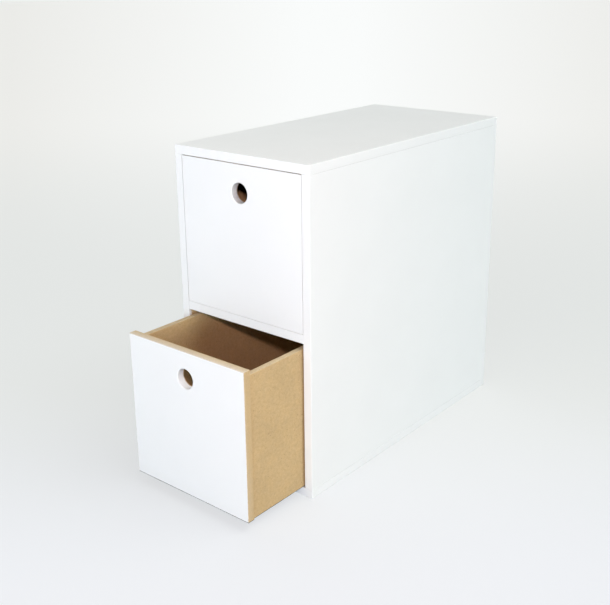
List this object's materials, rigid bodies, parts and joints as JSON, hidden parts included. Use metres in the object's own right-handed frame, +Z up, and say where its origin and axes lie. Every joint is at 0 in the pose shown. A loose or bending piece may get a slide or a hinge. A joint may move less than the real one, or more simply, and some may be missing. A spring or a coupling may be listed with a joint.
{
  "type": "compact disc storage drawer cabinet",
  "caption": "Tall narrow tabletop cabinet of white fibreboard with stacked raw fibreboard drawers, each pulled by a round finger hole.",
  "frame": {"origin": "centre of the cabinet's underside", "axes": "+X to the right seen from the front, +Y from the front to the back, +Z up; the drawers open towards -Y"},
  "size_m": [0.17, 0.414, 0.33],
  "materials": {
    "white_paint": "satin white paint on fibreboard",
    "painted_front": "satin white paint on the outer face, raw brown edges and back",
    "raw_fibreboard": "raw, matt",
    "brad_steel": "bright drawn wire"
  },
  "bodies": {
    "cabinet": {"top_panel": "white_paint", "bottom_panel": "white_paint", "left_side_panel": "white_paint", "right_side_panel": "white_paint", "divider_shelf": "white_paint", "back_panel": "white_paint", "top_panel_brads": "brad_steel", "bottom_panel_brads": "brad_steel", "shelf_brads": "brad_steel", "back_panel_brads": "brad_steel"},
    "lower_drawer": {"lower_drawer_front": "painted_front", "lower_drawer_left_side": "raw_fibreboard", "lower_drawer_right_side": "raw_fibreboard", "lower_drawer_back": "raw_fibreboard", "lower_drawer_floor": "raw_fibreboard", "lower_drawer_front_brads": "brad_steel", "lower_drawer_back_brads": "brad_steel"},
    "upper_drawer": {"upper_drawer_front": "painted_front", "upper_drawer_left_side": "raw_fibreboard", "upper_drawer_right_side": "raw_fibreboard", "upper_drawer_back": "raw_fibreboard", "upper_drawer_floor": "raw_fibreboard", "upper_drawer_front_brads": "brad_steel", "upper_drawer_back_brads": "brad_steel"}
  },
  "joints": [
    {"name": "lower_drawer_slide", "type": "slide", "parent": "cabinet", "child": "lower_drawer", "axis": [0, -1, 0], "range_m": [-0.08, 0.16]},
    {"name": "upper_drawer_slide", "type": "slide", "parent": "cabinet", "child": "upper_drawer", "axis": [0, -1, 0], "range_m": [0, 0.24]}
  ]
}
